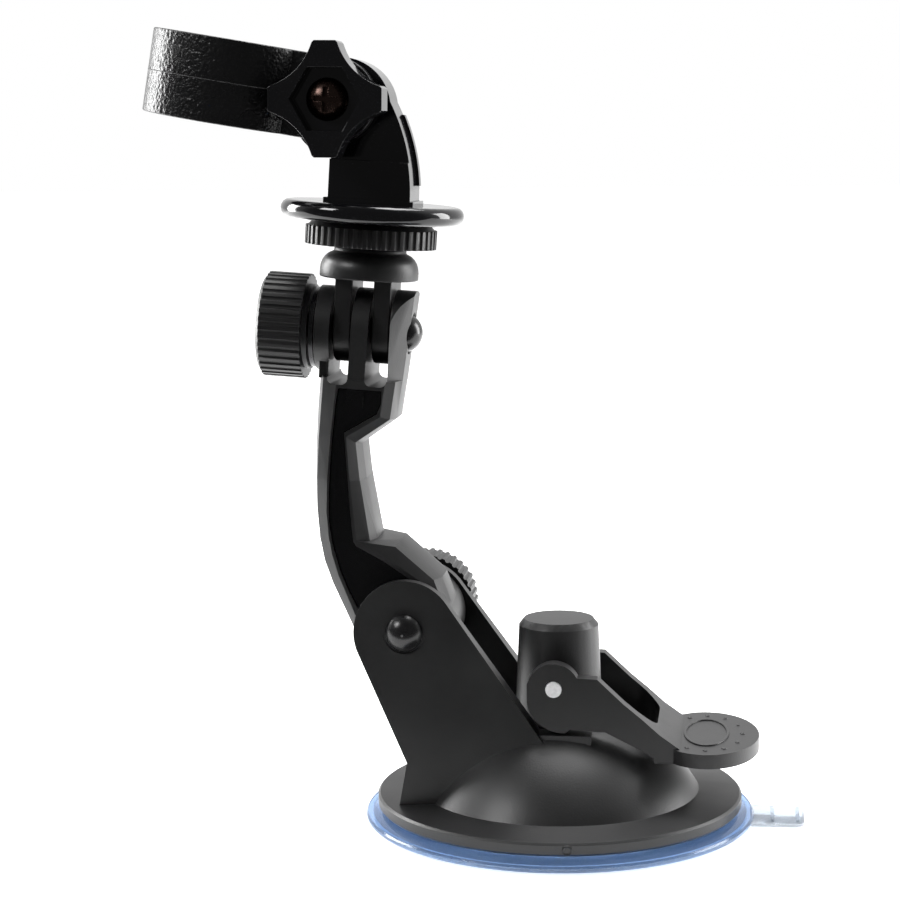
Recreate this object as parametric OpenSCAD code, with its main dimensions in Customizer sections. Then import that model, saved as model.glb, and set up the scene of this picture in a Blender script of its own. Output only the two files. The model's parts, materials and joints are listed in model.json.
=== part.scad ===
// Suction-cup mount with a tilting arm, a turning head and a ring clamp.
// Frame: the origin is the centre of the cup's sealing face, +Z up. The lever
// points to +X, the arm leans to -X and the bolt heads face -Y. All sizes in mm.

/* [Suction cup] */
// outer radius of the soft cup
cup_r = 37; // [34:0.5:42]
// thickness of the cup at its outer edge
cup_edge = 0.9; // [0.6:0.1:2]
// depth of the hollow under the cup with the lever locked
cup_hollow = 5; // [4.5:0.1:6]
// thickness of the cup in the middle
cup_thick = 2.8; // [2:0.1:3.5]
// length of the pull tab beyond the cup edge
tab_l = 9.5; // [5:0.5:16]
// width of the pull tab
tab_w = 12; // [8:0.5:18]

/* [Housing] */
// radius of the housing rim
rim_r = 34.7; // [32:0.1:36]
// height of the rim's top edge above the sealing face
rim_top = 4.9; // [4.5:0.1:6]
// radius where the dome meets the flat ring
dome_r = 26.6; // [24:0.1:29]
// height the dome's crown would have if it were not cut flat
dome_top = 20.6; // [19.5:0.1:22]
// height of the flat seat the cam presses on
seat_z = 18.6; // [18:0.1:20]
// half length of the two tracks the cam runs on
track_l = 7; // [6:0.2:9]
// wall thickness of the housing
wall = 2.4; // [2:0.1:3]

/* [Ears] */
// distance of the tilt bolt to the left of the cup centre
pivot_x = 27.9; // [24:0.1:30]
// height of the tilt bolt
pivot_z = 37.3; // [34:0.1:42]
// radius of the ears round the bolt
ear_r = 9.6; // [8.5:0.1:11]
// clear width between the two ears
ear_gap = 18; // [16:0.2:20]
// wall thickness of each ear at the bolt
ear_t = 3; // [2.4:0.1:4]
// draft angle of the outer ear faces
ear_draft = 5.5; // [2:0.5:8]

/* [Plunger and lever] */
// radius of the plunger post
post_r = 8.2; // [7.6:0.05:8.6]
// radius of the post at its top
post_tip = 7.5; // [6.5:0.05:8]
// height of the post's top face
post_top = 38.2; // [36:0.1:44]
// height of the lever pin
pin_z = 27.2; // [26.5:0.1:28]
// radius of the lever pin
pin_r = 1.5; // [1.2:0.1:2]
// lift of the plunger over the whole lever swing
lift = 3.3; // [2.6:0.1:4]
// swing of the lever from locked to open, degrees
swing = 90; // [80:1:95]
// thickness of each lever cheek
cheek_t = 3; // [2.4:0.1:3.4]
// distance from the pin to the middle of the thumb pad
pad_x = 28; // [26:0.2:32]
// half length of the thumb pad along the lever
pad_rx = 9.9; // [8:0.1:11]
// half width of the thumb pad
pad_ry = 15.6; // [14:0.1:17]
// thickness of the thumb pad
pad_t = 2.7; // [2:0.1:3.5]

/* [Arm] */
// lean of the whole arm to the right, degrees
arm_lean = 4; // [-20:1:30]
// height of the fork axis above the tilt bolt
arm_l = 54.8; // [50:0.2:64]
// offset of the fork axis to the left of the tilt bolt
arm_off = 12.2; // [10:0.1:14]
// radius of the arm's lower barrel
barrel_r = 9; // [8:0.1:9.4]
// radius of the fork lugs
fork_r = 8; // [7.4:0.1:8.4]
// radius of both hinge bolts
bolt_r = 2.5; // [2:0.1:3]
// depth of the fork slots below the fork axis
slot_deep = 9.7; // [9:0.1:12]
// thickness of the middle fork prong
prong_m = 3.2; // [2.8:0.1:3.6]
// thickness of the two head prongs
prong_h = 3.3; // [2.8:0.1:3.6]

/* [Knobs] */
// outer radius of the ribbed knobs
knob_r = 9.9; // [8.5:0.1:11]
// length of the ribbed part
knob_l = 8.5; // [8:0.1:12]
// length of the plain collar of a knob
collar_l = 0.9; // [0.8:0.1:2.5]
// number of ribs round a knob
knob_ribs = 38; // [24:1:48]
// outer radius of the lock wheel
wheel_r = 12.35; // [11:0.05:14]
// thickness of the lock wheel
wheel_t = 4.3; // [3.6:0.1:5]
// number of flutes round the lock wheel
wheel_flutes = 44; // [30:1:56]
// reach of the four knob tips
star_r = 10.4; // [9.6:0.1:12.5]
// thickness of the star knob
star_t = 6.5; // [5.5:0.1:8]

/* [Head and bracket] */
// radius of the mushroom cap
cap_r = 9.3; // [9:0.1:10.5]
// height of the mushroom cap
cap_h = 4.9; // [4:0.1:6]
// radius of the bracket's disc
disc_r = 17.2; // [15:0.1:19]
// thickness of the bracket's disc
disc_t = 3.4; // [3:0.1:4.5]
// radius of the tripod stud
stud_r = 3.1; // [3:0.05:3.2]
// width of the bracket's elbow
elbow_w = 15.4; // [14:0.1:18]
// thickness of the elbow, front to back
elbow_t = 12; // [10:0.2:13]
// thickness of the lug between the ring's tabs
lug_t = 9; // [8:0.1:10]
// height of the clamp bolt above the disc's lower face
star_h = 21.9; // [20:0.1:24]
// offset of the clamp bolt to the left of the disc centre
star_off = 7; // [5:0.1:8]

/* [Ring clamp] */
// inner radius of the ring
ring_r = 12.7; // [11:0.1:15]
// wall thickness of the ring
ring_wall = 2.4; // [2:0.1:3]
// height of the ring's band
ring_h = 15.5; // [13:0.1:18]
// turn of the ring about its bolt, degrees
ring_lean = 6; // [-30:1:30]
// distance from the bolt to the ring's centre
ring_off = 21.7; // [21:0.1:26]

/* [Fits] */
// radial gap of pins and bolts that turn
run_gap = 0.08; // [0.03:0.01:0.1]
// gap between moving parts that do not touch
move_gap = 0.35; // [0.3:0.05:0.5]
// gap round parts fixed to each other
fix_gap = 0.05; // [0.02:0.01:0.1]

/* [Hidden] */
$fn = 64;
rim_low = cup_edge + 1.5;
step_z = rim_top + 0.6;
sph_h = (dome_r * dome_r - pow(dome_top - step_z, 2)) / (2 * (dome_top - step_z));
sph_z = step_z - sph_h;
sph_r = dome_top - sph_z;
ear_out = ear_gap / 2 + ear_t;
barrel_l = ear_gap / 2 - move_gap + 0.05;
cam_down = pin_z - seat_z - move_gap;
cam_left = cam_down - lift;
hub_r = cam_left - 0.05;
cam_rate = lift / (swing * PI / 180);
cheek_in = post_r + 1.4;
post_grow = (post_r - post_tip) / (post_top - seat_z - lift);
cheek_out = cheek_in + cheek_t;
disc_low = arm_l + 20.5;
disc_hi = disc_low + disc_t;
wheel_hi = disc_low - move_gap;
wheel_lo = wheel_hi - wheel_t;
cap_lo = arm_l + 9.8;
cap_hi = cap_lo + cap_h;
neck_hi = wheel_lo - move_gap;
slot_in = prong_m / 2;
slot_w = prong_h + 2 * move_gap + 0.1;
slot_out = slot_in + slot_w;
fork_half = slot_out + 3.6;
fork_left = slot_out + 2.9;
head_pr_r = 6.1;
core_lo = cup_hollow + cup_thick;
core_hi = core_lo + 1.6;
tab_in = lug_t / 2 + move_gap;
tab_t = 3;
tab_out = tab_in + tab_t;
head_r = bolt_r + 1.15;
washer_r = 6;
stud_low = cap_lo + 1.1;
pad_z = -10.8;
band_y = sqrt(pow(ring_r + ring_wall, 2) - pow(ring_off - 1.02 * star_r, 2));
star_y = -max(tab_out + move_gap + 1, band_y + move_gap);
star_z = disc_low + star_h;
grain = [0.13, 0.13, 0.14];
gloss = [0.05, 0.05, 0.06];
metal = [0.75, 0.76, 0.78];
brass = [0.78, 0.62, 0.3];

// ---------- frames ----------

// the tilt bolt, with the arm's lean
module at_arm() {
    translate([-pivot_x, 0, pivot_z])
        rotate([0, arm_lean, 0])
            children();
}

// the fork axis, x along the fork bolt
module at_fork() {
    at_arm()
        translate([-arm_off, 0, arm_l])
            children();
}

// the upright axis of the head, z from the tilt bolt
module at_head() {
    at_arm()
        translate([-arm_off, 0, 0])
            children();
}

// the clamp bolt of the ring
module at_star() {
    at_head()
        translate([-star_off, 0, star_z])
            children();
}

// the ring, turned about its clamp bolt
module at_ring() {
    at_star()
        rotate([0, ring_lean, 0])
            children();
}

// a flat profile drawn in x and z, as thick as t, centred on y = 0
module plate(t) {
    rotate([90, 0, 0])
        linear_extrude(height = t, center = true)
            children();
}

// a cylinder along +y from y0 to y1
module rod_y(r, y0, y1) {
    translate([0, y0, 0])
        rotate([-90, 0, 0])
            cylinder(r = r, h = y1 - y0);
}

// a cylinder along +x from x0 to x1
module rod_x(r, x0, x1) {
    translate([x0, 0, 0])
        rotate([0, 90, 0])
            cylinder(r = r, h = x1 - x0);
}

// ---------- suction cup ----------

module cup_profile() {
    polygon([
        [cup_r - 8, 0], [cup_r, 0], [cup_r, cup_edge],
        [rim_r - 0.8, rim_low - 0.35], [rim_r - 4, rim_low],
        [rim_r - 9, rim_low + 0.25],
        [12, core_lo - 0.3], [10, core_lo], [0, core_lo],
        [0, cup_hollow], [10, cup_hollow], [cup_r - 10, 0.6]]);
}

module suction_cup() {
    color([0.25, 0.5, 0.95])
        union() {
            rotate_extrude($fn = 128)
                cup_profile();
            translate([cup_r - 1, -tab_w / 2, 0])
                cube([tab_l + 1 - tab_w / 2, tab_w, cup_edge]);
            translate([cup_r + tab_l - tab_w / 2, 0, 0])
                cylinder(r = tab_w / 2, h = cup_edge);
        }
}

// ---------- housing ----------

module ear_outline() {
    union() {
        translate([-pivot_x, pivot_z])
            circle(r = ear_r);
        polygon([
            [-pivot_x - ear_r * 0.914, pivot_z - ear_r * 0.405],
            [-pivot_x + 0.6, 13],
            [-pivot_x - 1, rim_top - 1],
            [6, rim_top - 1],
            [2, 12],
            [-pivot_x + ear_r * 0.825, pivot_z + ear_r * 0.565]]);
    }
}

// the ear block: the outline between two drafted faces
module ear_block() {
    intersection() {
        plate(2 * ear_out + 12)
            ear_outline();
        for_draft()
            translate([-80, -80, -60])
                cube([160, 80, 160]);
    }
}

// keeps what lies between the two drafted side faces
module for_draft() {
    intersection() {
        translate([0, ear_out, pivot_z])
            rotate([ear_draft, 0, 0])
                translate([-80, -80, -80])
                    cube([160, 80, 160]);
        translate([0, -ear_out, pivot_z])
            rotate([-ear_draft, 0, 0])
                translate([-80, 0, -80])
                    cube([160, 80, 160]);
    }
}

module ears() {
    difference() {
        intersection() {
            plate(2 * ear_out + 16)
                ear_outline();
            for_draft();
            union() {
                translate([0, 0, rim_top - 2])
                    cylinder(r = rim_r - 1.3, h = 11.5, $fn = 128);
                translate([-80, -40, rim_top + 8])
                    cube([120, 80, 60]);
            }
        }
        translate([-80, -ear_gap / 2, rim_top + 6])
            cube([160, ear_gap, 80]);
    }
}

module base_housing() {
    color(grain)
        difference() {
            union() {
                rotate_extrude($fn = 128)
                    polygon([[0, rim_low], [rim_r - 0.5, rim_low],
                        [rim_r, rim_low + 0.5], [rim_r, rim_top - 0.4],
                        [rim_r - 0.4, rim_top], [dome_r, step_z], [0, step_z]]);
                intersection() {
                    translate([0, 0, sph_z])
                        sphere(r = sph_r, $fn = 160);
                    translate([0, 0, step_z - 1])
                        cylinder(r = 40, h = seat_z - step_z + 1);
                }
                // two tracks under the cam
                for (s = [-1, 1])
                    translate([0, s * (cheek_in + cheek_out) / 2, seat_z - 3])
                        linear_extrude(height = 3)
                            square([2 * track_l, cheek_t + 0.8], center = true);
                ears();
            }
            // the hollow under the dome
            rotate_extrude($fn = 128)
                polygon([[0, rim_low - 1], [rim_r - wall, rim_low - 1],
                    [rim_r - wall, rim_top - 1.9], [dome_r - 1.2, rim_top - 1.9],
                    [19, 10.2], [12.5, 13.6], [0, 13.6]]);
            // the post runs in this hole
            translate([0, 0, -1])
                cylinder(r = post_r + move_gap, h = 40);
            // the tilt bolt, with a flat spot each side
            translate([-pivot_x, 0, pivot_z])
                rod_y(bolt_r + fix_gap, -30, 30);
            translate([-pivot_x, 0, pivot_z])
                rod_y(washer_r + 0.3, ear_out, 30);
            translate([-pivot_x, 0, pivot_z])
                rod_y(head_r + 0.3, -30, -ear_out);
        }
}

// ---------- plunger ----------

module plunger_post() {
    color(grain)
        difference() {
            union() {
                translate([0, 0, core_hi])
                    cylinder(r = post_r, h = seat_z + lift - core_hi);
                translate([0, 0, seat_z + lift - 0.01])
                    cylinder(r1 = post_r, r2 = post_tip + 1.2 * post_grow,
                        h = post_top - 1.2 - seat_z - lift + 0.01);
                translate([0, 0, post_top - 1.2])
                    cylinder(r1 = post_tip + 1.2 * post_grow, r2 = post_tip - 0.9, h = 1.2);
            }
            translate([0, 0, core_hi - 1])
                cylinder(r = 4.6, h = 9);
            translate([0, 0, core_hi])
                cylinder(r = 1.5 + fix_gap, h = 14);
            translate([0, 0, pin_z])
                rod_y(pin_r + fix_gap, -20, 20);
        }
}

module plunger_core() {
    color(grain)
        difference() {
            union() {
                translate([0, 0, core_lo])
                    cylinder(r = post_r + 1.9, h = core_hi - core_lo);
                translate([0, 0, core_lo])
                    cylinder(r = 4.6 - fix_gap, h = 9);
            }
            translate([0, 0, core_lo - 1])
                cylinder(r = 1.5 + fix_gap, h = 20);
            translate([0, 0, core_lo - 1])
                cylinder(r = 2.9 + fix_gap, h = 3.1);
        }
}

module plunger_screw() {
    color(metal)
        union() {
            translate([0, 0, core_lo + 0.1])
                cylinder(r = 2.9, h = 1.95);
            translate([0, 0, core_lo + 0.1])
                cylinder(r = 1.5, h = 14);
        }
}

// three level coils joined by short risers on alternate sides
module return_spring() {
    coil_r = post_r + 1.15;
    wire = 0.35;
    rise = (13.6 - core_hi - 2 * wire - 0.3) / 2;
    color(metal)
        translate([0, 0, core_hi + 0.1 + wire])
            union() {
                for (i = [0:2])
                    translate([0, 0, i * rise])
                        rotate_extrude($fn = 64)
                            translate([coil_r, 0])
                                circle(r = wire, $fn = 16);
                for (i = [0:1])
                    translate([(i % 2 == 0 ? 1 : -1) * coil_r, 0, i * rise])
                        cylinder(r = wire * 0.8, h = rise, $fn = 16);
            }
}

module lever_pin() {
    color(metal)
        translate([0, 0, pin_z])
            rod_y(pin_r, -cheek_out, cheek_out);
}

// ---------- lever ----------

// rounded cam flank: the distance to the seat shrinks evenly with the swing
function cam_pt(a) = let (h = cam_down - cam_rate * a * PI / 180, d = -90 - a)
    [h * cos(d) - cam_rate * sin(d), h * sin(d) + cam_rate * cos(d)];

module cheek_outline() {
    union() {
        circle(r = hub_r);
        polygon(concat(
            [[8.1, 2.1], [3.7, 2.3], [-2, 3.6], [-cam_left, 1]],
            [for (i = [18:-1:0]) cam_pt(i * swing / 18)],
            [[3, -cam_down + 0.7], [9.6, -cam_down + 0.4], [16.3, pad_z - 0.4],
            [20, pad_z - pad_t], [24, pad_z - pad_t], [23.4, pad_z],
            [19.7, pad_z + 2.6], [16.3, pad_z + 5.6], [13, pad_z + 8.3]]));
    }
}

module pad_outline() {
    // an oval of short straight sides
    polygon([for (i = [0:71]) [pad_rx * cos(i * 5), pad_ry * sin(i * 5)]]);
}

// the slot the post stands in, with rounded corners at the pad
module post_slot() {
    corner = 4.5;
    translate([0, 0, -20])
        linear_extrude(height = 40)
            union() {
                translate([-20, -cheek_in])
                    square([39 - corner, 2 * cheek_in]);
                translate([-20, -cheek_in + corner])
                    square([39, 2 * cheek_in - 2 * corner]);
                for (s = [-1, 1])
                    translate([19 - corner, s * (cheek_in - corner)])
                        circle(r = corner);
            }
}

module cam_lever() {
    color(grain)
        translate([0, 0, pin_z])
            difference() {
                union() {
                    difference() {
                        plate(2 * cheek_out)
                            cheek_outline();
                        post_slot();
                    }
                    translate([pad_x, 0, pad_z - pad_t])
                        linear_extrude(height = pad_t)
                            pad_outline();
                    translate([18.6, -cheek_out, pad_z - pad_t])
                        cube([5.4, 2 * cheek_out, pad_t]);
                }
                rod_y(pin_r + run_gap, -30, 30);
                // relief under the root of the pad, clear of the dome
                intersection() {
                    translate([0, 0, sph_z - pin_z])
                        sphere(r = sph_r + move_gap, $fn = 160);
                    translate([12, -40, -40])
                        cube([40, 80, 60]);
                }
            }
}

// ---------- bolts and knobs ----------

// domed head, flat face at y = 0, crown at y = -h
module dome_head(r, h) {
    s = (r * r + h * h) / (2 * h);
    rotate([90, 0, 0])
        intersection() {
            translate([0, 0, h - s])
                sphere(r = s, $fn = 96);
            cylinder(r = r, h = h + 1);
        }
}

module lower_bolt() {
    color(gloss)
        translate([-pivot_x, 0, pivot_z])
            union() {
                translate([0, -ear_out - 0.1, 0])
                    dome_head(head_r, 2.4);
                rod_y(bolt_r, -ear_out - 0.1, ear_out + knob_l - 0.4);
            }
}

module washer(r) {
    rotate([-90, 0, 0])
        difference() {
            cylinder(r = r, h = 0.8);
            translate([0, 0, -1])
                cylinder(r = bolt_r + 0.2, h = 3);
        }
}

module lower_washer() {
    color(metal)
        translate([-pivot_x, ear_out + 0.25, pivot_z])
            washer(washer_r);
}

// ribbed knob, its collar face at x = 0 and the grip towards +x
module ribbed_knob() {
    difference() {
        union() {
            rod_x(8, 0, collar_l + 0.1);
            rotate([0, 90, 0])
                translate([0, 0, collar_l])
                    linear_extrude(height = knob_l - 0.6)
                        difference() {
                            circle(r = knob_r);
                            for (i = [0:knob_ribs - 1])
                                rotate([0, 0, i * 360 / knob_ribs])
                                    translate([knob_r + 0.15, 0])
                                        circle(r = 0.5, $fn = 16);
                        }
            translate([collar_l + knob_l - 0.6, 0, 0])
                rotate([0, 90, 0])
                    cylinder(r1 = knob_r - 0.4, r2 = knob_r - 1, h = 0.6);
        }
        rod_x(4.5 + fix_gap, -1, 6);
        rod_x(bolt_r + 0.5, 4, collar_l + knob_l - 1.4);
    }
}

// threaded metal insert of a ribbed knob
module knob_insert() {
    difference() {
        rod_x(4.5, 0.2, 5.9);
        rod_x(bolt_r + run_gap, -1, 8);
    }
}

module lower_knob() {
    color(grain)
        translate([-pivot_x, ear_out + 1.4, pivot_z])
            rotate([0, 0, 90])
                ribbed_knob();
}

module lower_knob_insert() {
    color(brass)
        translate([-pivot_x, ear_out + 1.4, pivot_z])
            rotate([0, 0, 90])
                knob_insert();
}

module upper_bolt() {
    color(gloss)
        at_fork()
            union() {
                translate([fork_half - 1.3, 0, 0])
                    rotate([0, 0, 90])
                        dome_head(head_r, 2.8);
                rod_x(bolt_r, -fork_left - knob_l + 0.4, fork_half - 1.2);
            }
}

module upper_washer() {
    color(metal)
        at_fork()
            translate([-fork_left - 0.25, 0, 0])
                rotate([0, 0, 90])
                    washer(washer_r + 1.6);
}

module upper_knob() {
    color(grain)
        at_fork()
            translate([-fork_left - 1.4, 0, 0])
                rotate([0, 0, 180])
                    ribbed_knob();
}

module upper_knob_insert() {
    color(brass)
        at_fork()
            translate([-fork_left - 1.4, 0, 0])
                rotate([0, 0, 180])
                    knob_insert();
}

// ---------- arm ----------

arm_core = 3.4;
arm_d = barrel_l;
fx = -arm_off;
fz = arm_l;
// heights in the arm's middle grow with its length
bend = arm_l / 54.8;

function between(a, b, f) = [for (i = [0:len(a) - 1]) a[i] + (b[i] - a[i]) * f];

// a slab of the arm: full outline in the middle, narrower at front and back
module arm_slab(full, face) {
    hull() {
        plate(2 * arm_core)
            polygon(full);
        plate(2 * (arm_core + (arm_d - arm_core) * 0.72))
            polygon(between(full, face, 0.3));
        plate(2 * arm_d)
            polygon(face);
    }
}

// the arm's front face, as four points for each slab
block_full = [[fx - 7.6, fz - 8.6], [fx - 7.75, fz - 14.8], [fx - 7.75, fz - 21],
    [fx + 1, fz - 21], [fx + 7.3, fz - 15.9], [fx + 8, fz - 8.6]];
block_face = [[fx - 3.6, fz - 8.6], [fx - 3.9, fz - 14.8], [fx - 4.2, fz - 19.4],
    [fx - 1.3, fz - 19.4], [fx + 4.9, fz - 15.2], [fx + 5.5, fz - 8.6]];
shaft_full = [[fx - 7.75, fz - 20.6], [fx - 7.5, fz - 27.8],
    [fx + 2.3, fz - 27.8], [fx + 1, fz - 20.6]];
shaft_face = [[fx - 4.2, fz - 19.2], [fx - 4.4, fz - 27.8],
    [fx - 0.1, fz - 27.8], [fx - 1.3, fz - 19.2]];
shin_full = [[fx - 7.5, fz - 27.6], [-19.2, 21 * bend], [-18.3, 15], [-6.9, 15.2],
    [fx + 2.3, fz - 27.6]];
shin_face = [[fx - 4.4, fz - 27.6], [-16.4, 21 * bend], [-15.6, 15.6], [-10.4, 15.6],
    [fx - 0.1, fz - 27.6]];
foot_full = [[-18.4, 15.6], [-17.2, 11], [-15.2, 6.6], [-12.9, 2.6], [-9.5, -3.5],
    [8.4, 3], [5.5, 9.5], [-2.7, 16]];
foot_face = [[-15.6, 15.9], [-14.9, 13], [-13.5, 9.2], [-11.5, 5.2], [-7.5, -3],
    [4.5, 3], [1.8, 9.4], [-4.6, 13.3], [-10.2, 15.9]];

module arm_body() {
    union() {
        arm_slab(block_full, block_face);
        arm_slab(shaft_full, shaft_face);
        arm_slab(shin_full, shin_face);
        arm_slab(foot_full, foot_face);
        rod_y(barrel_r, -barrel_l, barrel_l);
        // the fork: a bevelled block cut to a lug profile
        translate([fx, 0, fz])
            union() {
                intersection() {
                    hull() {
                        plate(2 * arm_core)
                            polygon([[-7.6, -9], [8, -9], [fork_half + 0.2, 9], [-fork_left - 0.2, 9]]);
                        plate(2 * arm_d)
                            polygon([[-3.6, -9], [4.8, -9], [4.8, 9], [-3.6, 9]]);
                    }
                    rotate([0, 90, 0])
                        linear_extrude(height = 30, center = true)
                            union() {
                                circle(r = fork_r);
                                polygon([[0, -fork_r], [9.5, -arm_d],
                                    [9.5, arm_d], [0, fork_r]]);
                            }
                }
                rod_x(fork_r, -fork_left, -slot_out);
                translate([-fork_left + 1, -arm_core - 2, -9])
                    cube([2.9, 2 * arm_core + 4, 6]);
            }
    }
}

// the two slots that take the head's prongs, with rounded lower corners
module fork_slots() {
    corner = 1.2;
    for (s = [-1, 1])
        translate([s * (slot_in + slot_w / 2), 0, 0])
            plate(40)
                union() {
                    translate([-slot_w / 2, -slot_deep + corner])
                        square([slot_w, 40]);
                    translate([-slot_w / 2 + corner, -slot_deep])
                        square([slot_w - 2 * corner, 10]);
                    for (t = [-1, 1])
                        translate([t * (slot_w / 2 - corner), -slot_deep + corner])
                            circle(r = corner);
                }
}

module cover_outline(grow) {
    top = fz - slot_deep - 0.7;
    polygon([[fx - 3.2 - grow, top + grow], [fx - 3.5 - grow, fz - 13],
        [fx - 3.8 - grow, fz - 18.6], [fx - 3.95 - grow, fz - 24.6],
        [-16.1 - grow, 24.5 * bend], [-15.8 - grow, 19.3 * bend], [-14.9 - grow, 14.9],
        [-13.2 - grow, 10.1], [-11.1 - grow, 5.8], [-9.3 - grow, 2.9],
        [1.2 + grow, 8.8], [-5 + grow, 12.4 + grow], [-10.5 + grow, 14.9 + grow],
        [-11.1 + grow, 15.8], [-12 + grow, 21.6 * bend], [fx - 1.2 + grow, fz - 22.8],
        [fx - 1.75 + grow, fz - 18.7 + grow], [fx + 4.2 + grow, fz - 14.8],
        [fx + 4.9 + grow, fz - 12.8], [fx + 4.9 + grow, top + grow]]);
}

// a cover plate with the short rib that carries on from the middle prong
module cover(side) {
    union() {
        translate([0, side * (arm_d - 0.9), 0])
            plate(1.1)
                cover_outline(0);
        translate([fx - prong_m / 2, 0, fz])
            rotate([90, 0, 90])
                linear_extrude(height = prong_m)
                    polygon([[side * (arm_d - 0.8), -slot_deep - 0.7],
                        [side * arm_d, -slot_deep - 0.7],
                        [side * arm_d, -slot_deep - 2.2],
                        [side * (arm_d - 0.45), -slot_deep - 6],
                        [side * (arm_d - 0.8), -slot_deep - 6]]);
    }
}

module arm() {
    color(grain)
        at_arm()
            difference() {
                arm_body();
                translate([fx, 0, fz]) {
                    fork_slots();
                    rod_x(bolt_r + fix_gap, -30, 30);
                    rod_x(head_r + 0.35, fork_half - 1.4, 30);
                }
                rod_y(bolt_r + run_gap, -30, 30);
                for (s = [-1, 1])
                    translate([0, s * (arm_d + 0.5), 0])
                        plate(4)
                            cover_outline(fix_gap);
            }
}

module arm_front_cover() {
    color(gloss)
        at_arm()
            cover(-1);
}

module arm_back_cover() {
    color(gloss)
        at_arm()
            cover(1);
}

// ---------- head ----------

module head() {
    color(grain)
        at_head()
            difference() {
                union() {
                    // mushroom cap with a rounded shoulder
                    translate([0, 0, cap_lo])
                        rotate_extrude($fn = 96)
                            polygon(concat([[0, 0], [cap_r, 0]],
                                [for (i = [0:6]) [cap_r - 3 + 3 * cos(i * 15), 1.4
                                    + (cap_h - 1.4) * sin(i * 15)]],
                                [[0, cap_h]]));
                    translate([0, 0, cap_hi - 0.2])
                        cylinder(r = 6.8, h = neck_hi - cap_hi + 0.2);
                    // the two prongs
                    for (s = [-1, 1])
                        translate([s * (slot_in + slot_w / 2) - prong_h / 2, 0, arm_l])
                            intersection() {
                                union() {
                                    rod_x(head_pr_r, 0, prong_h);
                                    translate([0, -head_pr_r, 0])
                                        cube([prong_h, 2 * head_pr_r, cap_lo - arm_l + 1]);
                                }
                                translate([-1, -20, -20])
                                    cube([20, 40, 60]);
                            }
                }
                translate([0, 0, arm_l])
                    rod_x(bolt_r + run_gap, -30, 30);
                translate([0, 0, cap_lo + 1])
                    cylinder(r = stud_r + fix_gap, h = 20);
            }
}

module tripod_stud() {
    color(metal)
        at_head()
            union() {
                translate([0, 0, stud_low])
                    cylinder(r = stud_r, h = disc_low + 7.6 - stud_low);
            }
}

module lock_wheel() {
    color(grain)
        at_head()
            translate([0, 0, wheel_lo])
                difference() {
                    union() {
                        linear_extrude(height = wheel_t - 0.8)
                            difference() {
                                circle(r = wheel_r, $fn = 96);
                                for (i = [0:wheel_flutes - 1])
                                    rotate([0, 0, i * 360 / wheel_flutes])
                                        translate([wheel_r + 0.2, 0])
                                            circle(r = 0.55, $fn = 16);
                            }
                        translate([0, 0, wheel_t - 0.8])
                            cylinder(r1 = wheel_r - 0.4, r2 = wheel_r - 1.2, h = 0.8);
                    }
                    translate([0, 0, -1])
                        cylinder(r = 5 + fix_gap, h = 10);
                }
}

module wheel_insert() {
    color(brass)
        at_head()
            translate([0, 0, wheel_lo + 0.05])
                difference() {
                    cylinder(r = 5, h = wheel_t - 0.1);
                    translate([0, 0, -1])
                        cylinder(r = stud_r + run_gap, h = 10);
                }
}

// ---------- bracket ----------

module elbow_outline() {
    big = 37;
    left = 0.15 - elbow_w / 2;
    right = 0.15 + elbow_w / 2;
    union() {
        intersection() {
            translate([right - big, disc_hi - disc_low + 0.4])
                circle(r = big, $fn = 160);
            polygon([[left, 1], [right + 1, 1], [right + 1, star_h + 3],
                [-star_off + 2, star_h + 4], [left, star_h]]);
        }
        translate([-star_off + 0.8, star_h - 1.4])
            circle(r = 9.3, $fn = 96);
    }
}

module bracket() {
    color(gloss)
        at_head()
            translate([0, 0, disc_low])
                difference() {
                    union() {
                        // disc with a rounded rim
                        rotate_extrude($fn = 128)
                            polygon(concat([[0, 0], [disc_r - 1.5, 0]],
                                [for (i = [0:8]) [disc_r - 1.5 + 1.5 * cos(-90 + i * 22.5),
                                    disc_t / 2 + disc_t / 2 * sin(-90 + i * 22.5)]],
                                [[0, disc_t]]));
                        // foot of the elbow
                        translate([0.15, 0, disc_t - 0.1])
                            linear_extrude(height = 0.9)
                                square([elbow_w + 1.4, elbow_t + 1.4], center = true);
                        intersection() {
                            plate(elbow_t)
                                elbow_outline();
                            union() {
                                // full width below, a thinner lug above
                                translate([-30, -elbow_t / 2, 0])
                                    cube([60, elbow_t, star_h - ring_h / 2 - 2.9]);
                                translate([-30, -lug_t / 2, 0])
                                    cube([60, lug_t, 40]);
                            }
                        }
                        // stiffening web at the back of the bend
                        intersection() {
                            translate([0.6, 3, 0])
                                plate(2)
                                    elbow_outline();
                            translate([-2, 0, 7])
                                cube([30, 6, 13]);
                        }
                    }
                    translate([0, 0, -1])
                        cylinder(r = 4.6 + fix_gap, h = 9);
                    translate([-star_off, 0, star_h])
                        rod_y(2.5 + 0.1, -30, 30);
                }
}

module bracket_insert() {
    color(brass)
        at_head()
            translate([0, 0, disc_low + 0.05])
                difference() {
                    cylinder(r = 4.6, h = 7.8);
                    translate([0, 0, -1])
                        cylinder(r = stud_r + run_gap, h = 20);
                }
}

// ---------- ring clamp ----------

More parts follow.
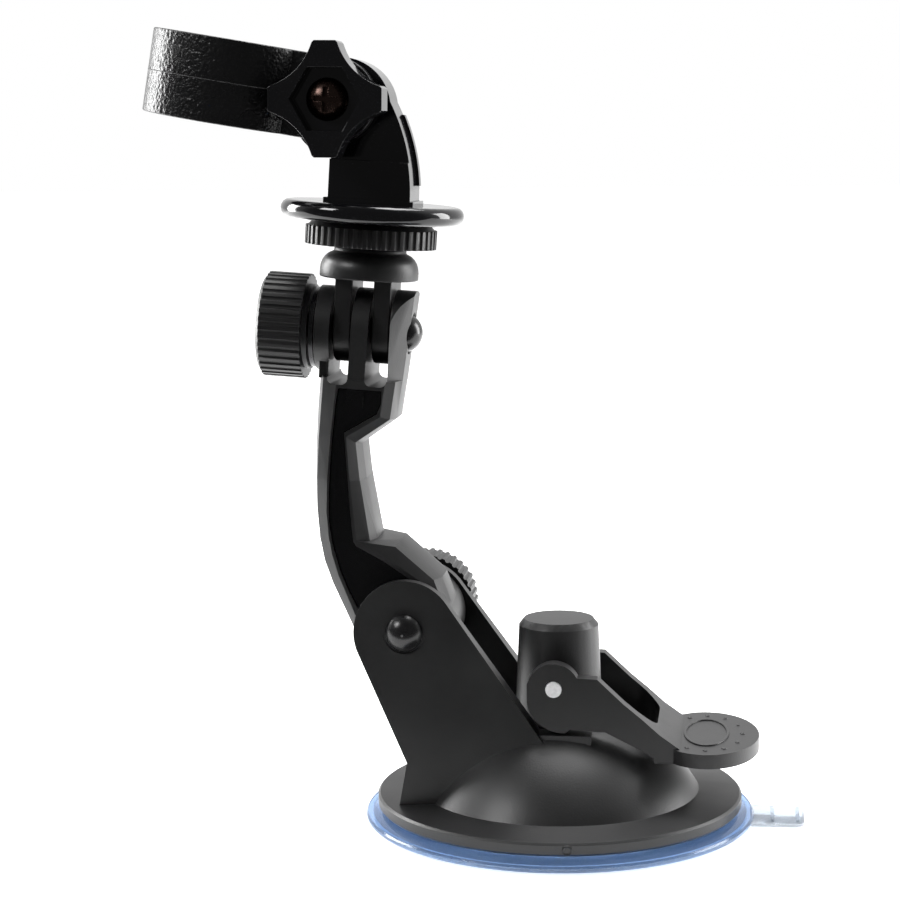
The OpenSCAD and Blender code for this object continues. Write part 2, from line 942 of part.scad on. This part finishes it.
module ring_clamp() {
    ro = ring_r + ring_wall;
    color(grain)
        at_ring()
            difference() {
                union() {
                    translate([-ring_off, 0, 0])
                        cylinder(r = ro, h = ring_h, center = true, $fn = 128);
                    // two tabs either side of the lug
                    for (s = [-1, 1])
                        translate([0, s * (tab_in + tab_t / 2), 0])
                            plate(tab_t)
                                union() {
                                    circle(r = ring_h / 2);
                                    translate([-ring_off + ro - 5, -ring_h / 2])
                                        square([ring_off - ro + 5, ring_h]);
                                }
                }
                translate([-ring_off, 0, 0])
                    cylinder(r = ring_r, h = ring_h + 2, center = true, $fn = 128);
                // the mouth of the ring
                translate([-ring_off + 6, -tab_in, -20])
                    cube([40, 2 * tab_in, 40]);
                rod_y(2.5 + 0.1, -30, 30);
            }
}

// ---------- star knob and its screw ----------

module star_outline() {
    difference() {
        intersection() {
            square([2 * star_r, 2 * star_r], center = true);
            rotate(45)
                square([1.68 * star_r, 1.68 * star_r], center = true);
        }
        for (i = [0:3])
            rotate(45 + i * 90)
                translate([star_r + 8.6, 0])
                    circle(r = 11.6, $fn = 96);
    }
}

module star_knob() {
    color(gloss)
        at_star()
            rotate([0, -3, 0])
                difference() {
                    union() {
                        translate([0, star_y - star_t / 2, 0])
                            plate(star_t)
                                star_outline();
                        rod_y(6, star_y - 0.5, -tab_out - move_gap);
                    }
                    // hexagon recess for the screw head
                    translate([0, star_y - star_t + 1.5, 0])
                        plate(3.2)
                            circle(r = 6.5, $fn = 6);
                    rod_y(2.5 + fix_gap, -40, 10);
                }
}

module clamp_screw() {
    color(metal)
        at_star()
            difference() {
                union() {
                    translate([0, star_y - star_t + 3.05, 0])
                        dome_head(3.9, 2.6);
                    rod_y(2.5, star_y - star_t + 3, tab_out + 7.6);
                }
                translate([0, star_y - star_t + 0.8, 0])
                    cube([4.4, 2.6, 0.9], center = true);
                translate([0, star_y - star_t + 0.8, 0])
                    cube([0.9, 2.6, 4.4], center = true);
            }
}

module clamp_washer() {
    color(metal)
        at_star()
            translate([0, tab_out + move_gap, 0])
                washer(6.5);
}

module clamp_nut() {
    color(metal)
        at_star()
            difference() {
                translate([0, tab_out + move_gap + 1.1, 0])
                    rotate([-90, 30, 0])
                        cylinder(r = 4.6, h = 4, $fn = 6);
                rod_y(2.5 + run_gap, -10, 30);
            }
}

// ---------- build ----------

suction_cup();
base_housing();
plunger_post();
plunger_core();
plunger_screw();
return_spring();
lever_pin();
cam_lever();
lower_bolt();
lower_washer();
lower_knob();
lower_knob_insert();
arm();
arm_front_cover();
arm_back_cover();
upper_bolt();
upper_washer();
upper_knob();
upper_knob_insert();
head();
tripod_stud();
lock_wheel();
wheel_insert();
bracket();
bracket_insert();
ring_clamp();
star_knob();
clamp_screw();
clamp_washer();
clamp_nut();
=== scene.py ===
# %% [markdown]
# # A suction-cup mount with a ring clamp
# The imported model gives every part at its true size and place. Its nodes are
# loaded first and stay where they are. Each step below gives a node its
# finish, or models a finer piece that stands for it.

# %% Load the frame
import json
import math

import bpy
from mathutils import Matrix, Vector


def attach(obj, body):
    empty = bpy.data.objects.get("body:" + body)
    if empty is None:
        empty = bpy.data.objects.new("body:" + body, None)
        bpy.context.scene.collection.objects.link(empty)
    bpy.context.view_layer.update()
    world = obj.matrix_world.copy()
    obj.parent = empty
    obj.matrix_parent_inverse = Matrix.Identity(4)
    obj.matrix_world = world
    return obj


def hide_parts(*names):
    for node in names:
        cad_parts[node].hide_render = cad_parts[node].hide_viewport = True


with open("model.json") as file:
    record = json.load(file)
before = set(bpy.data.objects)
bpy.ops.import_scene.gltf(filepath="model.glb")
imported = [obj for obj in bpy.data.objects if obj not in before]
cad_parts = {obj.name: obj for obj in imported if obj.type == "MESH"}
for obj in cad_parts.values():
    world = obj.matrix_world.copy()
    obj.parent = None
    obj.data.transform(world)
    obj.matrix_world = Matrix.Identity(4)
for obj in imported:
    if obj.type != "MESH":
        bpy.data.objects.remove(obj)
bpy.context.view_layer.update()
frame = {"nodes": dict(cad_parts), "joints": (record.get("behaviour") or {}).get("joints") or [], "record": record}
nodes = frame["nodes"]

# %% [markdown]
# ## Where things are
# The joints say where each bolt is and how far the arm leans, and the ring's
# mount gives its centre and axis. The pieces are drawn in millimetres in one
# of these frames and brought to metres when they are placed, which keeps the
# numbers easy to read.

# %% Frames of the base, the fork, the head, the clamp bolt and the ring
MM = Matrix.Scale(0.001, 4)
joints = {joint["name"]: joint for joint in frame["joints"]}
lean_axis = joints["head_tilt"]["axis"]
lean = Matrix.Rotation(math.atan2(-lean_axis[2], lean_axis[0]), 4, "Y")


def bolt_frame(joint):
    """The frame of a bolt, turned with the leaning arm."""
    return Matrix.Translation(joints[joint]["pos_m"]) @ lean @ MM


base_frame = MM
arm_frame = bolt_frame("arm_tilt")
fork_frame = bolt_frame("head_tilt")
star_frame = bolt_frame("ring_tilt")
disc_frame = bolt_frame("bracket_pan")
ring_mount = next(m for m in frame["record"]["mounts"] if m["name"] == "ring_bore")
ring_turn = math.atan2(ring_mount["axis"][0], ring_mount["axis"][2])
ring_frame = (
    Matrix.Translation(ring_mount["pos_m"]) @ Matrix.Rotation(ring_turn, 4, "Y") @ MM
)


def measure(node, place):
    """A node's lowest and highest corners in a frame, in its millimetres."""
    back = place.inverted()
    corners = [back @ vertex.co for vertex in nodes[node].data.vertices]
    low = Vector([min(c[i] for c in corners) for i in range(3)])
    high = Vector([max(c[i] for c in corners) for i in range(3)])
    return low, high


print("arm leans", round(math.degrees(math.atan2(-lean_axis[2], lean_axis[0])), 2),
      "ring turned", round(math.degrees(ring_turn), 2))

# %% [markdown]
# ## Camera, floor and light
# The camera stands a little above the cup and looks slightly down, as a buyer
# looks at goods on a counter. The floor is a plain white sheet, and two tall soft boxes
# beside the object draw long, soft highlights on the black plastic. The room is
# bright behind the object and dark in front of it, so the faces towards the
# camera stay dark while every top and edge catches light.

# %% Camera
heading = math.radians(-7.622)
pitch = math.radians(7.839)
roll = math.radians(-0.571)
forward = Vector((math.sin(heading) * math.cos(pitch),
                  math.cos(heading) * math.cos(pitch), -math.sin(pitch)))
level = Vector((math.cos(heading), -math.sin(heading), 0))
above = level.cross(forward)
right = level * math.cos(roll) + above * math.sin(roll)
up = above * math.cos(roll) - level * math.sin(roll)
camera = bpy.data.objects.new("camera", bpy.data.cameras.new("camera"))
bpy.context.collection.objects.link(camera)
camera.matrix_world = Matrix((
    (right.x, up.x, -forward.x, 0.03469),
    (right.y, up.y, -forward.y, -0.41245),
    (right.z, up.z, -forward.z, 0.12739),
    (0, 0, 0, 1)))
camera.data.lens = 88.86
camera.data.sensor_width = 36
camera.data.clip_start = 0.01
bpy.context.scene.camera = camera
print("camera at", [round(v, 4) for v in camera.location])

# %% [markdown]
# ## The room
# Light could come from single lamps, but small lamps make hard points on gloss.
# Wide area lights stand in for a studio's soft boxes, and a gradient in the
# world's own light does the rest.

# %% Floor and light
def soft_box(name, place, aim, width, height, watts):
    """An area light that points from its place to an aim."""
    light = bpy.data.lights.new(name, "AREA")
    light.shape = "RECTANGLE"
    light.size = width
    light.size_y = height
    light.energy = watts
    lamp = bpy.data.objects.new(name, light)
    bpy.context.collection.objects.link(lamp)
    lamp.location = place
    towards = Vector(aim) - Vector(place)
    lamp.rotation_euler = towards.to_track_quat("-Z", "Y").to_euler()
    return lamp


middle = (-0.015, 0, 0.08)
soft_box("left box", (-0.6, 0.22, 0.20), middle, 0.22, 0.5, 5)
soft_box("right box", (0.6, 0.25, 0.25), middle, 0.25, 0.5, 4)
soft_box("front box", (-0.55, -0.40, 0.60), middle, 0.25, 0.25, 3)
soft_box("top box", (0.0, 0.25, 0.9), middle, 0.6, 0.5, 8)
world = bpy.data.worlds.new("white room")
world.use_nodes = True
room = world.node_tree
walls = room.nodes["Background"]
walls.inputs["Color"].default_value = (1, 1, 1, 1)
facing = room.nodes.new("ShaderNodeTexCoord").outputs["Generated"]
sides = room.nodes.new("ShaderNodeSeparateXYZ")
room.links.new(facing, sides.inputs["Vector"])
fall = room.nodes.new("ShaderNodeMapRange")
fall.interpolation_type = "SMOOTHSTEP"
fall.inputs["From Min"].default_value = -0.35
fall.inputs["From Max"].default_value = 0.45
fall.inputs["To Min"].default_value = 0.10
fall.inputs["To Max"].default_value = 0.95
room.links.new(sides.outputs["Y"], fall.inputs["Value"])
room.links.new(fall.outputs["Result"], walls.inputs["Strength"])
backdrop = room.nodes.new("ShaderNodeBackground")
backdrop.inputs["Color"].default_value = (1, 1, 1, 1)
seen = room.nodes.new("ShaderNodeLightPath")
choose = room.nodes.new("ShaderNodeMixShader")
room.links.new(seen.outputs["Is Camera Ray"], choose.inputs["Fac"])
room.links.new(walls.outputs["Background"], choose.inputs[1])
room.links.new(backdrop.outputs["Background"], choose.inputs[2])
room.links.new(choose.outputs["Shader"], room.nodes["World Output"].inputs["Surface"])
bpy.context.scene.world = world
bpy.context.scene.view_settings.view_transform = "Standard"


def deselect():
    bpy.ops.object.select_all(action="DESELECT")


deselect()
bpy.ops.mesh.primitive_plane_add(size=6, location=(0, 2.93, -0.0004))
floor = bpy.context.object
floor.name = "floor"
paper = bpy.data.materials.new("white_paper")
paper.use_nodes = True
paper_shader = paper.node_tree.nodes["Principled BSDF"]
paper_shader.inputs["Base Color"].default_value = (0.9, 0.9, 0.9, 1)
paper_shader.inputs["Roughness"].default_value = 0.9
paper_shader.inputs["Specular IOR Level"].default_value = 0.0
paper_shader.inputs["Emission Color"].default_value = (1, 1, 1, 1)
paper_shader.inputs["Emission Strength"].default_value = 0.7
floor.data.materials.append(paper)
print("floor and four soft boxes")

# %% [markdown]
# ## Finishes
# Moulded plastic is never one flat colour: a spark-eroded mould leaves a fine
# even grain, and handling polishes it in patches. A noise texture in the
# piece's own coordinates drives the roughness and a slight change of colour,
# and a finer one gives the grain's bump.

# %% Moulded plastic
def new_material(name):
    material = bpy.data.materials.new(name)
    material.use_nodes = True
    return material, material.node_tree.nodes, material.node_tree.links


def noise(nodes_, links, vector, scale, detail=3.0):
    """A noise texture read in the piece's own coordinates."""
    texture = nodes_.new("ShaderNodeTexNoise")
    texture.inputs["Scale"].default_value = scale
    texture.inputs["Detail"].default_value = detail
    links.new(vector, texture.inputs["Vector"])
    return texture.outputs["Fac"]


def spread(nodes_, links, value, low, high):
    """Maps the middle of a noise to a range of values."""
    mapper = nodes_.new("ShaderNodeMapRange")
    mapper.inputs["From Min"].default_value = 0.3
    mapper.inputs["From Max"].default_value = 0.7
    mapper.inputs["To Min"].default_value = low
    mapper.inputs["To Max"].default_value = high
    links.new(value, mapper.inputs["Value"])
    return mapper.outputs["Result"]


def tint(nodes_, links, value, dark, light):
    """Blends two colours by a noise."""
    ramp = nodes_.new("ShaderNodeValToRGB")
    ramp.color_ramp.elements[0].position = 0.3
    ramp.color_ramp.elements[1].position = 0.7
    ramp.color_ramp.elements[0].color = (*dark, 1)
    ramp.color_ramp.elements[1].color = (*light, 1)
    links.new(value, ramp.inputs["Fac"])
    return ramp.outputs["Color"]


def moulded(name, dark, light, rough, grain, depth, patch=60):
    """Plastic with a moulded grain: two colours, a span of roughness, and bump."""
    material, kit, links = new_material(name)
    shader = kit["Principled BSDF"]
    own = kit.new("ShaderNodeTexCoord").outputs["Object"]
    clouds = noise(kit, links, own, patch)
    links.new(tint(kit, links, clouds, dark, light), shader.inputs["Base Color"])
    links.new(spread(kit, links, clouds, *rough), shader.inputs["Roughness"])
    bump = kit.new("ShaderNodeBump")
    bump.inputs["Strength"].default_value = 0.6
    bump.inputs["Distance"].default_value = depth
    links.new(noise(kit, links, own, grain, 2.0), bump.inputs["Height"])
    links.new(bump.outputs["Normal"], shader.inputs["Normal"])
    return material


satin_black = moulded("satin_black", (0.010, 0.010, 0.0105),
                      (0.015, 0.015, 0.0155),
                      (0.36, 0.44), 2600, 0.00003)
gloss_black = moulded("gloss_black", (0.004, 0.004, 0.005), (0.006, 0.006, 0.007),
                      (0.06, 0.12), 300, 0.00001)
panel_black = moulded("panel_black", (0.003, 0.003, 0.0035), (0.005, 0.005, 0.0055),
                      (0.16, 0.24), 500, 0.00001)
panel_black.node_tree.nodes["Principled BSDF"].inputs[
    "Specular IOR Level"].default_value = 0.2
leather_black = moulded("leather_black", (0.005, 0.005, 0.0055),
                        (0.008, 0.008, 0.0085),
                        (0.24, 0.32), 1300, 0.0004)
bolt_black = moulded("bolt_black", (0.006, 0.006, 0.0065), (0.009, 0.009, 0.0095),
                     (0.2, 0.28), 1200, 0.00001)
leather_black.node_tree.nodes["Principled BSDF"].inputs[
    "Specular IOR Level"].default_value = 0.4
print("plastics:", ", ".join(plastic.name for plastic in (
    satin_black, gloss_black, panel_black, leather_black, bolt_black)))

# %% [markdown]
# ## Metals and clear plastic
# Bright pin, darkened screw, plated washers and brass inserts differ in colour
# and polish only, so one helper makes them all. The cup's vinyl lets light
# through and is tinted by its base colour.

# %% Metals and clear plastic
def metal(name, colour, rough, grain=1500):
    material, kit, links = new_material(name)
    shader = kit["Principled BSDF"]
    shader.inputs["Metallic"].default_value = 1.0
    own = kit.new("ShaderNodeTexCoord").outputs["Object"]
    clouds = noise(kit, links, own, grain)
    links.new(tint(kit, links, clouds, [c * 0.85 for c in colour], colour),
              shader.inputs["Base Color"])
    links.new(spread(kit, links, clouds, *rough), shader.inputs["Roughness"])
    return material


bright_steel = metal("bright_steel", (0.95, 0.95, 0.96), (0.5, 0.6))
bronze_steel = metal("bronze_steel", (0.07, 0.045, 0.038), (0.2, 0.35))
zinc_plate = metal("zinc_plate", (0.70, 0.71, 0.72), (0.3, 0.42))
turned_brass = metal("turned_brass", (0.76, 0.58, 0.28), (0.25, 0.35))
oxide_black = metal("oxide_black", (0.05, 0.05, 0.052), (0.25, 0.35))


def soft_vinyl(name, colour, rough):
    material, kit, links = new_material(name)
    shader = kit["Principled BSDF"]
    shader.inputs["Transmission Weight"].default_value = 0.85
    shader.inputs["IOR"].default_value = 1.45
    own = kit.new("ShaderNodeTexCoord").outputs["Object"]
    clouds = noise(kit, links, own, 90)
    links.new(tint(kit, links, clouds, [c * 0.92 for c in colour], colour),
              shader.inputs["Base Color"])
    links.new(spread(kit, links, clouds, *rough), shader.inputs["Roughness"])
    return material


blue_vinyl = soft_vinyl("blue_vinyl", (0.42, 0.63, 0.98), (0.1, 0.18))
clear_vinyl = soft_vinyl("clear_vinyl", (0.85, 0.92, 1.0), (0.08, 0.15))
print("metals and vinyls:", ", ".join(finish.name for finish in (
    bright_steel, bronze_steel, zinc_plate, turned_brass, oxide_black,
    blue_vinyl, clear_vinyl)))

# %% [markdown]
# ## A finish and soft edges for every node
# Moulded edges are never sharp. A live bevel rounds a node's edges and leaves
# its mesh as it is, and weighted normals keep the flat faces flat.

# %% Finish for each node
finish_of = {
    "suction_cup": blue_vinyl, "base_housing": satin_black,
    "plunger_post": satin_black, "plunger_core": satin_black,
    "plunger_screw": zinc_plate, "return_spring": zinc_plate,
    "lever_pin": bright_steel, "cam_lever": satin_black,
    "lower_bolt": bolt_black, "lower_washer": oxide_black,
    "lower_knob": satin_black, "lower_knob_insert": turned_brass,
    "arm": satin_black, "arm_front_cover": panel_black,
    "arm_back_cover": panel_black, "upper_bolt": bolt_black,
    "upper_washer": oxide_black, "upper_knob": satin_black,
    "upper_knob_insert": turned_brass, "head": satin_black,
    "tripod_stud": zinc_plate, "lock_wheel": satin_black,
    "wheel_insert": turned_brass, "bracket": gloss_black,
    "bracket_insert": turned_brass, "ring_clamp": leather_black,
    "star_knob": gloss_black, "clamp_screw": bronze_steel,
    "clamp_washer": zinc_plate, "clamp_nut": zinc_plate,
}
for name, material in finish_of.items():
    nodes[name].data.materials.clear()
    nodes[name].data.materials.append(material)


def soften_node(name, width):
    """Rounds a node's edges with modifiers and leaves its mesh alone."""
    obj = nodes[name]
    weld = obj.modifiers.new("weld", "WELD")
    weld.merge_threshold = 0.000002
    flat = obj.modifiers.new("flat", "DECIMATE")
    flat.decimate_type = "DISSOLVE"
    flat.angle_limit = math.radians(1.0)
    bevel = obj.modifiers.new("bevel", "BEVEL")
    bevel.width = width
    bevel.segments = 2
    bevel.limit_method = "ANGLE"
    bevel.angle_limit = math.radians(25)
    even = obj.modifiers.new("even", "WEIGHTED_NORMAL")
    even.weight = 80
    deselect()
    obj.select_set(True)
    bpy.context.view_layer.objects.active = obj
    bpy.ops.object.shade_smooth()


soft_edges = {"star_knob": 0.0006, "plunger_post": 0.0006, "bracket": 0.0004}
for name in ("base_housing", "cam_lever", "arm", "arm_front_cover",
             "arm_back_cover", "head", "bracket", "ring_clamp", "star_knob",
             "lock_wheel", "plunger_post", "upper_knob", "lower_knob",
             "lower_bolt", "upper_bolt", "clamp_screw", "clamp_nut"):
    usual = 0.00015 if "cover" in name else 0.0003
    soften_node(name, soft_edges.get(name, usual))
print("finished", len(finish_of), "nodes")

# %% [markdown]
# ## Ways of making a piece
# A round piece is half an outline spun about its axis, as on a lathe. A flat
# piece is an outline filled with one face and pulled up to its thickness. Both
# outlines start as a single point that is extruded from corner to corner, which
# is how they would be drawn by hand.

# %% Draw, spin, pull up and place
def draw(name, corners):
    """A line through corners in millimetres, left selected in edit mode."""
    deselect()
    bpy.ops.mesh.primitive_plane_add(size=1)
    piece = bpy.context.object
    piece.name = piece.data.name = name
    bpy.ops.object.mode_set(mode="EDIT")
    bpy.ops.mesh.merge(type="CENTER")
    bpy.ops.transform.translate(value=corners[0])
    for here, there in zip(corners, corners[1:]):
        step = [b - a for a, b in zip(here, there)]
        bpy.ops.mesh.extrude_vertices_move(TRANSFORM_OT_translate={"value": step})
    bpy.ops.mesh.select_all(action="SELECT")
    return piece


def close_up():
    """Merges doubles, turns the faces outwards and leaves edit mode."""
    bpy.ops.mesh.select_all(action="SELECT")
    bpy.ops.mesh.remove_doubles(threshold=0.001)
    bpy.ops.mesh.normals_make_consistent(inside=False)
    bpy.ops.object.mode_set(mode="OBJECT")


def turned(name, outline, steps=96):
    """A round piece from (radius, height) corners."""
    piece = draw(name, [(r, 0, z) for r, z in outline])
    bpy.ops.mesh.spin(steps=steps, angle=math.tau, center=(0, 0, 0), axis=(0, 0, 1))
    close_up()
    return piece


def pulled(name, outline, low, high):
    """A flat piece from (x, y) corners, between two heights."""
    piece = draw(name, [(x, y, low) for x, y in outline])
    bpy.ops.mesh.edge_face_add()
    bpy.ops.mesh.extrude_region_move(
        TRANSFORM_OT_translate={"value": (0, 0, high - low)})
    close_up()
    return piece


def round_edges(piece, width, segments=2, angle=30):
    """A bevel on the sharp edges, applied."""
    bevel = piece.modifiers.new("bevel", "BEVEL")
    bevel.width = width
    bevel.segments = segments
    bevel.limit_method = "ANGLE"
    bevel.angle_limit = math.radians(angle)
    bpy.context.view_layer.objects.active = piece
    bpy.ops.object.modifier_apply(modifier="bevel")


def fit(piece, place, body, material, smooth=35):
    """Brings a piece from its drawing to its place, and says what it rides on."""
    deselect()
    piece.select_set(True)
    bpy.context.view_layer.objects.active = piece
    piece.matrix_world = place @ piece.matrix_world
    bpy.ops.object.transform_apply(location=True, rotation=True, scale=True)
    bpy.ops.object.shade_smooth_by_angle(angle=math.radians(smooth))
    piece.data.materials.clear()
    piece.data.materials.append(material)
    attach(piece, body)
    print(piece.name, len(piece.data.polygons), "faces on", body)


def oval(half_x, half_y, count, centre=(0, 0)):
    """Corners of an oval."""
    turn = [math.tau * i / count for i in range(count)]
    return [(centre[0] + half_x * math.cos(t), centre[1] + half_y * math.sin(t))
            for t in turn]


# %% [markdown]
# ## The suction cup
# The cup is soft vinyl, thick in the middle where it hangs on the plunger and
# thin at the edge, where a small bead keeps the lip from curling. It is one
# spun outline, so the bead and the hollow follow the real section.

# %% Suction cup
cup_low, cup_high = measure("suction_cup", base_frame)
tab_end = cup_high.x
cup_edge = -cup_low.x
boss = cup_high.z
cup_outline = [
    (0, boss - 2.8), (10, boss - 2.8), (18, 3.4), (cup_edge - 10, 0.6),
    (cup_edge - 7.4, 0.05), (cup_edge - 1.2, 0), (cup_edge - 0.3, 0.15),
    (cup_edge, 0.5), (cup_edge, 1.0), (cup_edge - 0.3, 1.35),
    (cup_edge - 0.9, 1.35), (cup_edge - 1.4, 1.15), (cup_edge - 2.6, 1.7),
    (cup_edge - 6.3, 2.25), (cup_edge - 11.3, 2.5), (24, 2.9), (12, boss - 0.35),
    (10, boss - 0.05), (0, boss - 0.05)]
cup = turned("soft_cup", cup_outline)
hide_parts("suction_cup")
fit(cup, base_frame, "base", blue_vinyl)

# %% [markdown]
# ## The pull tab
# A clear tongue beside the cup breaks the seal when it is lifted. It is a flat
# outline pulled up to a thin strip, with two raised ribs for the fingertip.

# %% Pull tab
half_tab = 6.0
tab_shape = [(cup_edge - 0.6, -half_tab), (tab_end - 2.4, -half_tab)]
tab_shape += [(tab_end - 2.4 + 2.4 * math.sin(math.radians(a)),
               -half_tab + 2.4 - 2.4 * math.cos(math.radians(a)))
              for a in range(15, 91, 15)]
tab_shape += [(x, -y) for x, y in reversed(tab_shape)]
tab = pulled("pull_tab", tab_shape, 0.1, 0.85)
round_edges(tab, 0.2)
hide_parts("suction_cup")
fit(tab, base_frame, "base", clear_vinyl)
for number, where in enumerate((cup_edge + 3.5, tab_end - 1.3)):
    rib = pulled("pull_tab_rib_%d" % (number + 1),
                 [(where - 0.35, -4.6), (where + 0.35, -4.6),
                  (where + 0.35, 4.6), (where - 0.35, 4.6)], 0.7, 1.25)
    round_edges(rib, 0.2)
    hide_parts("suction_cup")
    fit(rib, base_frame, "base", clear_vinyl)

# %% [markdown]
# ## The mark on the thumb pad
# The pad has a raised oval line and a row of small dots round it, moulded in
# one with the lever. The line is a filled oval inset to a thin frame, with the
# middle taken out; one dot is modelled and copied round a larger oval.

# %% Oval line and dots on the pad
pad_half = 9.9
pad_middle = measure("cam_lever", base_frame)[1].x - pad_half
pad_top = 16.4
line = draw("pad_line", [(x, y, pad_top - 0.15)
                         for x, y in oval(4.3, 9.6, 48, (pad_middle, 0))])
bpy.ops.mesh.edge_face_add()
bpy.ops.mesh.inset(thickness=0.55)
bpy.ops.mesh.delete(type="FACE")
bpy.ops.mesh.select_all(action="SELECT")
bpy.ops.mesh.extrude_region_move(TRANSFORM_OT_translate={"value": (0, 0, 0.4)})
close_up()
round_edges(line, 0.12)
fit(line, base_frame, "lever", satin_black)

deselect()
bpy.ops.mesh.primitive_uv_sphere_add(segments=12, ring_count=6, radius=0.5)
dot = bpy.context.object
dot.scale = (1, 1, 0.5)
bpy.ops.object.transform_apply(location=False, rotation=False, scale=True)
dots = []
for x, y in oval(6.8, 12.6, 12, (pad_middle, 0)):
    one = dot.copy()
    one.data = dot.data.copy()
    one.location = (x, y, pad_top)
    bpy.context.collection.objects.link(one)
    dots.append(one)
bpy.data.objects.remove(dot)
deselect()
for one in dots:
    one.select_set(True)
bpy.context.view_layer.objects.active = dots[0]
bpy.ops.object.join()
pad_dots = bpy.context.object
pad_dots.name = pad_dots.data.name = "pad_dots"
deselect()
pad_dots.select_set(True)
bpy.ops.object.transform_apply(location=True, rotation=True, scale=True)
fit(pad_dots, base_frame, "lever", satin_black)

# %% [markdown]
# ## The mark on the rim and the seam of the ring
# A tiny ring on the front of the rim shows where the mould was gated. Round the
# ring clamp runs a fine raised line, where the two halves of its mould met. Both
# are small rounds, made as a torus and as a spun strip, and sit proud by a hair.

# %% Rim mark
rim_front = measure("base_housing", base_frame)[0].y
deselect()
bpy.ops.mesh.primitive_torus_add(major_radius=0.75, minor_radius=0.22,
                                 major_segments=24, minor_segments=8,
                                 location=(2.0, 0, 0))
mark = bpy.context.object
mark.name = mark.data.name = "rim_mark"
upright = Matrix.Rotation(math.radians(90), 4, "X")
turn_to_front = Matrix.Rotation(math.radians(7), 4, "Z")
on_rim = Matrix.Translation((0, rim_front + 0.02, 3.6))
mark.matrix_world = turn_to_front @ on_rim @ upright
fit(mark, base_frame, "base", satin_black)

# %% Ring seam
ring_out = -measure("ring_clamp", ring_frame)[0].x
seam = draw("ring_seam", [(-(ring_out - 0.05), 0, -0.14), (-(ring_out + 0.09), 0, 0),
                          (-(ring_out - 0.05), 0, 0.14)])
bpy.ops.mesh.edge_face_add()
bpy.ops.mesh.delete(type="ONLY_FACE")
bpy.ops.mesh.select_all(action="SELECT")
bpy.ops.mesh.spin(steps=72, angle=math.radians(284), center=(0, 0, 0), axis=(0, 0, 1))
bpy.ops.mesh.select_all(action="SELECT")
bpy.ops.mesh.fill_holes(sides=0)
close_up()
seam.data.transform(Matrix.Rotation(math.radians(-142), 4, "Z"))
fit(seam, ring_frame, "ring", leather_black)

# %% [markdown]
# ## The spring under the plunger
# A few turns of round wire push the plunger down to its rest height. The wire
# is one small circle carried up and round by a Screw modifier, and its two cut
# ends are filled.

# %% Return spring
spring_low, spring_high = measure("return_spring", base_frame)
wire = 0.34
coil = (spring_high.x - spring_low.x) / 2 - wire
turns = 3
rise = (spring_high.z - spring_low.z - 2 * wire) / turns
spring = draw("wire_spring", [
    (coil + wire * math.cos(math.tau * i / 12), 0,
     spring_low.z + wire + wire * math.sin(math.tau * i / 12)) for i in range(12)])
bpy.ops.mesh.edge_face_add()
bpy.ops.mesh.delete(type="ONLY_FACE")
bpy.ops.object.mode_set(mode="OBJECT")
screw = spring.modifiers.new("screw", "SCREW")
screw.axis = "Z"
screw.angle = math.tau
screw.screw_offset = rise
screw.iterations = turns
screw.steps = screw.render_steps = 48
bpy.ops.object.modifier_apply(modifier="screw")
bpy.ops.object.mode_set(mode="EDIT")
bpy.ops.mesh.select_all(action="SELECT")
bpy.ops.mesh.remove_doubles(threshold=0.001)
bpy.ops.mesh.fill_holes(sides=0)
close_up()
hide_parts("return_spring")
fit(spring, base_frame, "base", zinc_plate)
